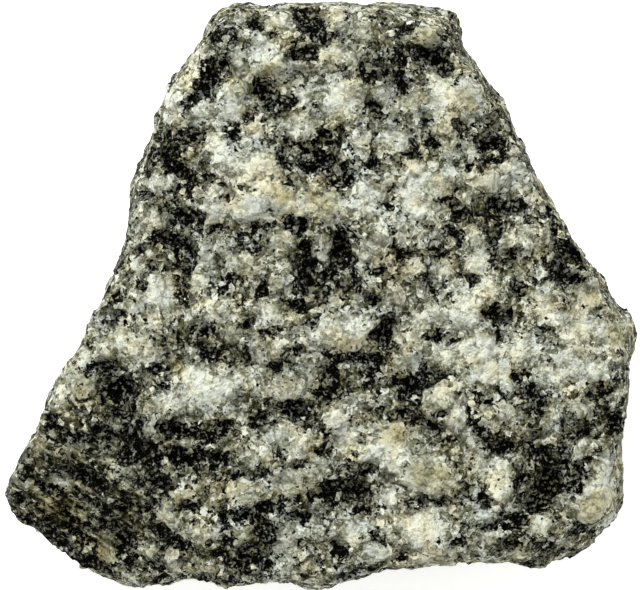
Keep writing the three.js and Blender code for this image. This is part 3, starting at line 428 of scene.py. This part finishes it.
class StageSettings(bpy.types.PropertyGroup):
    """Sizes and strengths of the studio."""
    floor_size: FloatProperty(
        name="Floor size", description="Side of the pale floor", default=6.0, unit="LENGTH")
    floor_glow: FloatProperty(
        name="Floor glow", description="Strength of the light table's own light", default=0.42)
    camera_height: FloatProperty(
        name="Camera height", description="Height of the camera above the floor", default=CAMERA_HEIGHT,
        unit="LENGTH")
    view_width: FloatProperty(
        name="View width", description="Width of the view at the height of the stone's outline",
        default=88.9 * MM, unit="LENGTH", precision=4)
    key_strength: FloatProperty(
        name="Key light", description="Strength of the sun from the top of the picture", default=2.95)
    key_turn: FloatProperty(
        name="Key turn", description="Where the key light comes from, counted from +X", subtype="ANGLE",
        default=math.radians(110))
    key_height: FloatProperty(
        name="Key height", description="How high the key light stands above the floor", subtype="ANGLE",
        default=math.radians(42))
    key_width: FloatProperty(
        name="Key width", description="How wide the sun looks from the stone, which softens its shadows",
        subtype="ANGLE", default=math.radians(15))
    fill_strength: FloatProperty(
        name="Fill", description="Strength of the pale surroundings", default=0.92)


def chance(cells, purpose):
    """The same "random" number from 0 to 1 each time for a cell of space and a purpose."""
    mixed = np.sin(cells @ SCRAMBLE + purpose * SCRAMBLE_PURPOSE) * SCRAMBLE_STRETCH
    return mixed - np.floor(mixed)


def nearest_cell(points, size, seed):
    """The scattered crystal centre nearest to each point: its cell and the way from it to the point."""
    home = np.floor(points / size)
    nearest = np.full(len(points), np.inf)
    cell = np.zeros_like(points)
    away = np.zeros_like(points)
    for step in itertools.product((-1, 0, 1), repeat=3):
        there = home + np.array(step)
        scatter = np.stack([chance(there, seed + k) for k in range(3)], axis=1)
        way = points - (there + scatter) * size
        distance = (way ** 2).sum(axis=1)
        nearer = distance < nearest
        nearest[nearer] = distance[nearer]
        cell[nearer] = there[nearer]
        away[nearer] = way[nearer]
    return cell, away


def facets(points, size, step, tilt, seed):
    """The relief of crystals that broke apart, each its own tilted facet, in the points' own unit."""
    cell, away = nearest_cell(points, size, seed)
    lean = sum((2 * chance(cell, seed + 3 + k) - 1) * away[:, k] for k in range(3))
    return step * (chance(cell, seed + 6) - 0.5) + tilt * lean


def waves(points, size, octaves=3):
    """Smooth fractal noise, about -1 to 1, with its largest waves of the given size."""
    return np.array([noise.fractal(Vector(p) / size, WAVE_FADE, WAVE_FINENESS, octaves) for p in points])


def patch_share(patches, plan, fade):
    """How deep each plan point lies in the nearest patch: a half on its edge, 0 half the fade outside it."""
    share = np.zeros(len(plan))
    for x, y, half_length, half_width, turn in patches:
        angle = math.radians(turn)
        across = plan - np.array([x, y])
        along = across @ np.array([math.cos(angle), math.sin(angle)]) / half_length
        aside = across @ np.array([-math.sin(angle), math.cos(angle)]) / half_width
        narrow = min(half_length, half_width)
        outside = (np.hypot(along, aside) - 1) * narrow
        share = np.maximum(share, 0.5 - outside / min(fade, MOST_HALF_WIDTHS * narrow))
    return np.clip(share, 0, 1)


def smooth_step(values, low, high):
    """Rises smoothly from 0 where a value is low to 1 where it is high."""
    share = np.clip((values - low) / (high - low), 0, 1)
    return share * share * (3 - 2 * share)


def even_surface(node, spacing):
    """A copy of the CAD solid's mesh on an even grid, its facets rounded a little."""
    stone = bpy.data.objects.new("granite_stone", node.data.copy())
    bpy.context.scene.collection.objects.link(stone)
    weld = stone.modifiers.new("weld", "WELD")
    weld.merge_threshold = 0.001 * MM
    remesh = stone.modifiers.new("even grid", "REMESH")
    remesh.mode = "VOXEL"
    remesh.voxel_size = spacing
    rounding = stone.modifiers.new("rounding", "SMOOTH")
    rounding.iterations = 4
    mesh = bpy.data.meshes.new_from_object(stone.evaluated_get(bpy.context.evaluated_depsgraph_get()))
    stone.modifiers.clear()
    stone.data = mesh
    mesh.materials.clear()
    return stone


def as_seen(points):
    """Where the camera sees each point (mm), in the measures of the lists above."""
    nearness = (CAMERA_HEIGHT - OUTLINE_HEIGHT) / (CAMERA_HEIGHT - points[:, 2] * MM)
    return (points[:, :2] * nearness[:, None] - np.array(READ_FROM)) * READ_SCALE


def front_minerals(plan):
    """The front's minerals with their painted shade and light, as the lists above lay them out."""
    return {
        "mica": patch_share(DARK_CLUSTERS, plan, CRYSTAL_EDGE),
        "feldspar": patch_share(PALE_CRYSTALS, plan, CRYSTAL_EDGE),
        "rust": patch_share(RUST_STAINS, plan, RUST_EDGE),
        "gloom": patch_share(GLOOMY_ZONES, plan, GLOOMY_EDGE) - patch_share(BRIGHT_ZONES, plan, BRIGHT_EDGE),
        "streaks": patch_share(STREAKED_ZONE, plan, STREAKED_EDGE),
    }


def side_minerals(points, seed):
    """The minerals of the sides and the back: thin flaky patches, 1 to 6 mm across, laid at random."""
    cell, away = nearest_cell(points, FLAKE_CELL, seed)
    radius = FLAKE_RADIUS + FLAKE_SPREAD * chance(cell, seed + 8)
    kind = chance(cell, seed + 9)
    thin_way = np.stack([chance(cell, seed + k) - 0.5 for k in (10, 11, 12)], axis=1)
    thin_way /= np.linalg.norm(thin_way, axis=1)[:, None]
    distance = np.hypot(np.linalg.norm(away, axis=1), FLAKE_SQUEEZE * (away * thin_way).sum(axis=1))
    inside = np.clip(0.5 - (distance - radius) / FLAKE_EDGE, 0, 1)
    return {
        "mica": inside * (kind < MICA_BELOW),
        "feldspar": inside * (kind > FELDSPAR_ABOVE),
        "rust": inside * (kind > RUST_ABOVE),
        "gloom": 0.5 + 0.5 * waves(points, GLOOM_WAVES, 1),
        "streaks": np.zeros(len(points)),
    }


def minerals(points, normals, seed):
    """How much each point (mm) leans to mica, to feldspar, to rust, to gloom and to streaks."""
    bend = np.stack([waves(points + place, WANDER_WAVES) for place in WANDER_PLACES], axis=1)
    laid_out = front_minerals(as_seen(points) + FRONT_WANDER * bend[:, :2])
    at_random = side_minerals(points + SIDE_WANDER * bend, seed)
    front = smooth_step(normals[:, 2], *FRONT_FACING) * smooth_step(points[:, 2], *FRONT_HEIGHTS)
    shares = {name: front * laid_out[name] + (1 - front) * at_random[name] for name in laid_out}
    shares["feldspar"] *= 1 - MICA_OVER_FELDSPAR * shares["mica"]
    return shares


def store(mesh, name, values):
    """Keeps one number for each point of a mesh, for its material."""
    mesh.attributes.new(name, "FLOAT", "POINT").data.foreach_set("value", values.astype(np.float32))


def crystal_relief(points, normals, leanings, settings):
    """How far each point moves out (mm): tilted crystals, with the mica broken out below the feldspar."""
    block = settings.block_size / MM
    grain = settings.grain_size / MM
    relief = facets(points, block, BLOCK_STEP * block, BLOCK_TILT, settings.seed + BLOCK_DRAW)
    relief += facets(points, grain, GRAIN_STEP * grain, GRAIN_TILT, settings.seed + GRAIN_DRAW)
    relief += SWELL_HEIGHT * waves(points, SWELL_SIZE)
    hollow = smooth_step(leanings["mica"], *MICA_SINKS)
    relief += settings.hollow_depth / MM * (FELDSPAR_RISE * leanings["feldspar"] - hollow)
    relief *= SIDE_RELIEF + (1 - SIDE_RELIEF) * np.abs(normals[:, 2])
    free = smooth_step(points[:, 2], 0, FLOOR_REACH) * (1 - FLOOR_RELIEF) + FLOOR_RELIEF
    return relief * free


def break_surface(stone, settings):
    """Moves each point of the even surface to the relief of its own crystal, and notes its mineral."""
    mesh = stone.data
    count = len(mesh.vertices)
    flat = np.empty(count * 3)
    mesh.vertices.foreach_get("co", flat)
    points = flat.reshape(-1, 3) / MM
    mesh.vertex_normals.foreach_get("vector", flat)
    normals = flat.reshape(-1, 3).copy()

    leanings = minerals(points, normals, settings.seed)
    moved = points + normals * crystal_relief(points, normals, leanings, settings)[:, None]
    moved[:, 2] = np.maximum(moved[:, 2], 0)
    mesh.vertices.foreach_set("co", (moved * MM).ravel())
    for name, values in leanings.items():
        store(mesh, name, values)
    mesh.update()
    mesh.shade_smooth()


def set_stops(ramp, stops):
    """Gives a colour ramp its colours, each with its place from 0 to 1."""
    elements = ramp.color_ramp.elements
    elements.remove(elements[-1])
    for place, colour in stops:
        stop = elements[0] if place == 0 else elements.new(place)
        stop.position = place
        stop.color = colour


def plain_patterns(tree):
    """The outputs that the mixed patterns start from, with their real sizes in mm."""
    place = add_node(tree, "ShaderNodeTexCoord").outputs["Object"]
    in_mm = add_node(tree, "ShaderNodeVectorMath", {0: place, "Scale": 1 / MM}, operation="SCALE").outputs[0]
    wander = add_node(tree, "ShaderNodeTexNoise", {
        "Vector": in_mm, "Scale": 1 / CRYSTAL_WAVES, "Detail": 4, "Roughness": 0.6})
    centred = add_node(tree, "ShaderNodeVectorMath", {0: wander.outputs["Color"], 1: (0.5, 0.5, 0.5)},
                       operation="SUBTRACT")
    patterns = {}

    # What each point of the mesh leans to.
    for name in ("mica", "feldspar", "rust", "gloom", "streaks"):
        patterns[name] = add_node(tree, "ShaderNodeAttribute", attribute_name=name).outputs["Fac"]

    # Noise, plain and drawn out in streaks.
    for name, (size, detail, roughness) in NOISES.items():
        made = add_node(tree, "ShaderNodeTexNoise", {
            "Vector": in_mm, "Scale": 1 / size, "Detail": detail, "Roughness": roughness})
        patterns[name] = made.outputs[0]
    drawn_out = add_node(tree, "ShaderNodeMapping", {
        "Vector": in_mm, "Rotation": (0, 0, STREAK_TURN), "Scale": STREAK_SIZE}, vector_type="TEXTURE")
    made = add_node(tree, "ShaderNodeTexNoise", {
        "Vector": drawn_out.outputs[0], "Scale": 1, "Detail": 3, "Roughness": 0.6})
    patterns["drawn out"] = made.outputs[0]

    # Crystals with crooked edges, and the seams between the large ones.
    for name, (size, bend) in CRYSTALS.items():
        bent = add_node(tree, "ShaderNodeVectorMath", {0: centred.outputs[0], 1: (bend,) * 3, 2: in_mm},
                        operation="MULTIPLY_ADD")
        cells = add_node(tree, "ShaderNodeTexVoronoi", {"Vector": bent.outputs[0], "Scale": 1 / size})
        tones = add_node(tree, "ShaderNodeSeparateColor", {"Color": cells.outputs["Color"]})
        patterns[name] = cells.outputs["Color"]
        patterns.update({f"{name} {tone.lower()}": tones.outputs[tone] for tone in ("Red", "Green", "Blue")})
        if name == "block":
            rims = add_node(tree, "ShaderNodeTexVoronoi", {"Vector": bent.outputs[0], "Scale": 1 / size},
                            feature="DISTANCE_TO_EDGE")
            patterns["seam distance"] = rims.outputs["Distance"]
    return patterns


def mix_patterns(tree, patterns):
    """Adds the patterns of the table to the plain ones."""
    for name, (total, parts, edge) in MIXED_PATTERNS.items():
        for part, weight in parts.items():
            added = add_node(tree, "ShaderNodeMath", {
                0: patterns[part], 1: patterns.get(weight, weight), 2: total}, operation="MULTIPLY_ADD")
            total = added.outputs[0]
        if edge:
            low, high, most = edge
            risen = add_node(tree, "ShaderNodeMapRange", {
                "Value": total, "From Min": low, "From Max": high, "To Max": most},
                interpolation_type="SMOOTHSTEP")
            total = risen.outputs[0]
        patterns[name] = total


def rock_colour(tree, patterns, settings):
    """Colours: grey quartz to pale feldspar, then black mica with painted glints, black seams and rust."""
    minerals_ramp = add_node(tree, "ShaderNodeValToRGB", {"Fac": patterns["paleness"]})
    set_stops(minerals_ramp, (
        (0, linear("#1e1d12")), (0.2, linear("#4b4b36")), (0.42, settings.quartz),
        (0.64, linear("#a9aa9b")), (0.9, settings.feldspar)))
    tints = add_node(tree, "ShaderNodeValToRGB", {"Fac": patterns["warmth"]})
    set_stops(tints, (
        (0, linear("#e4eaec")), (0.35, linear("#f0f3ee")), (0.55, linear("#f4f5ec")),
        (0.75, linear("#f7f4e3")), (1, linear("#f1e9d0"))))
    # Painted glints: grey flecks laid into the mica's black colour.
    glinting_mica = add_node(tree, "ShaderNodeMix", {
        MIX_SHARE: patterns["mica_glint"], MIX_BELOW: settings.mica, MIX_ABOVE: linear("#8d8f88")},
        data_type="RGBA")
    colour = minerals_ramp.outputs["Color"]
    for share, layer, way in (
            (patterns["is mica"], glinting_mica.outputs[MIXED], "MIX"),
            (patterns["seam"], settings.mica, "MIX"),
            (1, tints.outputs["Color"], "MULTIPLY"),
            (patterns["stain"], settings.rust, "MULTIPLY")):
        layered = add_node(tree, "ShaderNodeMix", {
            MIX_SHARE: share, MIX_BELOW: colour, MIX_ABOVE: layer}, data_type="RGBA", blend_type=way)
        colour = layered.outputs[MIXED]
    return colour


def rock_relief(tree, patterns):
    """The way each point faces: every grain leans like a cleavage face of its own, under fine crumbs."""
    facing = add_node(tree, "ShaderNodeNewGeometry").outputs["Normal"]
    lean = add_node(tree, "ShaderNodeVectorMath", {0: patterns["grain"], 1: (0.5, 0.5, 0.5)},
                    operation="SUBTRACT")
    cleaved = add_node(tree, "ShaderNodeVectorMath", {0: lean.outputs[0], 1: (CLEAVAGE_LEAN,) * 3, 2: facing},
                       operation="MULTIPLY_ADD")
    even = add_node(tree, "ShaderNodeVectorMath", {0: cleaved.outputs[0]}, operation="NORMALIZE")
    crumbs = add_node(tree, "ShaderNodeBump", {
        "Height": patterns["crumbs"], "Strength": 0.9, "Distance": 0.6 * MM, "Normal": even.outputs[0]})
    return crumbs.outputs[0]


def broken_granite(settings):
    """Broken granite: sugary white feldspar, grey quartz and black mica in one rough surface.

    Fresh breaks run through the crystals, so each mineral shows its own colour right up to a sharp edge.
    Feldspar breaks into small bright cleavage faces, quartz stays grey and glassy, and mica is black,
    with painted glints: grey flecks in its colour. Quartz and feldspar bend light alike, and dry broken
    rock hardly shines as a whole.
    """
    material = bpy.data.materials.new("broken granite")
    material.use_nodes = True
    tree = material.node_tree
    tree.nodes.clear()
    patterns = plain_patterns(tree)
    mix_patterns(tree, patterns)
    dullness = add_node(tree, "ShaderNodeMapRange", {
        "Value": patterns["grain green"], "To Min": GLOSSY, "To Max": DULL})
    shader = add_node(tree, "ShaderNodeBsdfPrincipled", {
        "Base Color": rock_colour(tree, patterns, settings), "Roughness": dullness.outputs[0], "IOR": 1.54,
        "Specular IOR Level": 0.02, "Normal": rock_relief(tree, patterns)})
    add_node(tree, "ShaderNodeOutputMaterial", {"Surface": shader.outputs[0]})
    return material


def light_table(glow):
    """A matt white light table: its glow leaves only a faint shadow beside the stone."""
    material = bpy.data.materials.new("matt white light table")
    material.use_nodes = True
    shader = material.node_tree.nodes["Principled BSDF"]
    shader.inputs["Base Color"].default_value = linear("#fbfbfa")
    shader.inputs["Roughness"].default_value = 0.95
    shader.inputs["Emission Color"].default_value = linear("#ffffff")
    shader.inputs["Emission Strength"].default_value = glow
    return material


def lay_floor(scene, settings):
    """Lays the square pale floor under the stone."""
    half = settings.floor_size / 2
    mesh = bpy.data.meshes.new("floor")
    mesh.from_pydata([(-half, -half, 0), (half, -half, 0), (half, half, 0), (-half, half, 0)], [],
                     [(0, 1, 2, 3)])
    floor = bpy.data.objects.new("floor", mesh)
    floor.data.materials.append(light_table(settings.floor_glow))
    scene.collection.objects.link(floor)


def set_surroundings(scene, settings):
    """Surrounds the stone with an even pale light."""
    world = bpy.data.worlds.new("pale surroundings")
    world.use_nodes = True
    surroundings = world.node_tree.nodes["Background"]
    surroundings.inputs["Color"].default_value = linear("#fdfdfb")
    surroundings.inputs["Strength"].default_value = settings.fill_strength
    scene.world = world


def hang_key_light(scene, settings):
    """Hangs a wide soft sun over the top of the picture, so that the crystals cast small shadows."""
    sun = bpy.data.lights.new("key", "SUN")
    sun.energy = settings.key_strength
    sun.angle = settings.key_width
    key = bpy.data.objects.new("key", sun)
    towards = Vector((math.cos(settings.key_turn), math.sin(settings.key_turn),
                      math.tan(settings.key_height)))
    key.rotation_euler = towards.to_track_quat("Z", "Y").to_euler()
    scene.collection.objects.link(key)


def place_camera(scene, settings):
    """Places the camera above the stone, looking straight down."""
    lens = bpy.data.cameras.new("camera")
    lens.sensor_width = 36.0
    lens.lens = lens.sensor_width * (settings.camera_height - OUTLINE_HEIGHT) / settings.view_width
    lens.clip_start = 0.01
    camera = bpy.data.objects.new("camera", lens)
    camera.location = (CAMERA_OVER[0] * MM, CAMERA_OVER[1] * MM, settings.camera_height)
    scene.collection.objects.link(camera)
    scene.camera = camera


class GRANITE_OT_stone(bpy.types.Operator):
    """Break the plain slab's surface into crystals and give it the granite"""
    bl_idname = "granite.stone"
    bl_label = "Break the stone"

    def execute(self, context):
        settings = context.scene.granite_stone
        stone = even_surface(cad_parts[STONE_NODE], settings.grid)
        break_surface(stone, settings)
        stone.data.materials.append(broken_granite(settings))
        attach(stone, "root")
        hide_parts(STONE_NODE)
        return {"FINISHED"}


class GRANITE_OT_stage(bpy.types.Operator):
    """Lay a pale floor and set the lights and the camera above the stone"""
    bl_idname = "granite.stage"
    bl_label = "Set the stage"

    def execute(self, context):
        settings = context.scene.granite_stage
        scene = context.scene
        lay_floor(scene, settings)
        set_surroundings(scene, settings)
        hang_key_light(scene, settings)
        place_camera(scene, settings)
        scene.view_settings.view_transform = "Standard"
        return {"FINISHED"}


class GRANITE_PT_panel(bpy.types.Panel):
    """Lists the stone and the stage with their settings"""
    bl_idname = "GRANITE_PT_panel"
    bl_label = "Granite specimen"
    bl_space_type = "VIEW_3D"
    bl_region_type = "UI"
    bl_category = "Granite"

    def draw(self, context):
        for operator, settings in ((GRANITE_OT_stone, context.scene.granite_stone),
                                   (GRANITE_OT_stage, context.scene.granite_stage)):
            box = self.layout.box()
            box.operator(operator.bl_idname)
            for name in settings.__annotations__:
                box.prop(settings, name)


CLASSES = (StoneSettings, StageSettings, GRANITE_OT_stone, GRANITE_OT_stage, GRANITE_PT_panel)


def register():
    for cls in CLASSES:
        bpy.utils.register_class(cls)
    bpy.types.Scene.granite_stone = PointerProperty(type=StoneSettings)
    bpy.types.Scene.granite_stage = PointerProperty(type=StageSettings)


def unregister():
    del bpy.types.Scene.granite_stage
    del bpy.types.Scene.granite_stone
    for cls in reversed(CLASSES):
        bpy.utils.unregister_class(cls)


def main():
    register()
    bpy.ops.granite.stone()
    bpy.ops.granite.stage()


if __name__ == "__main__":
    main()
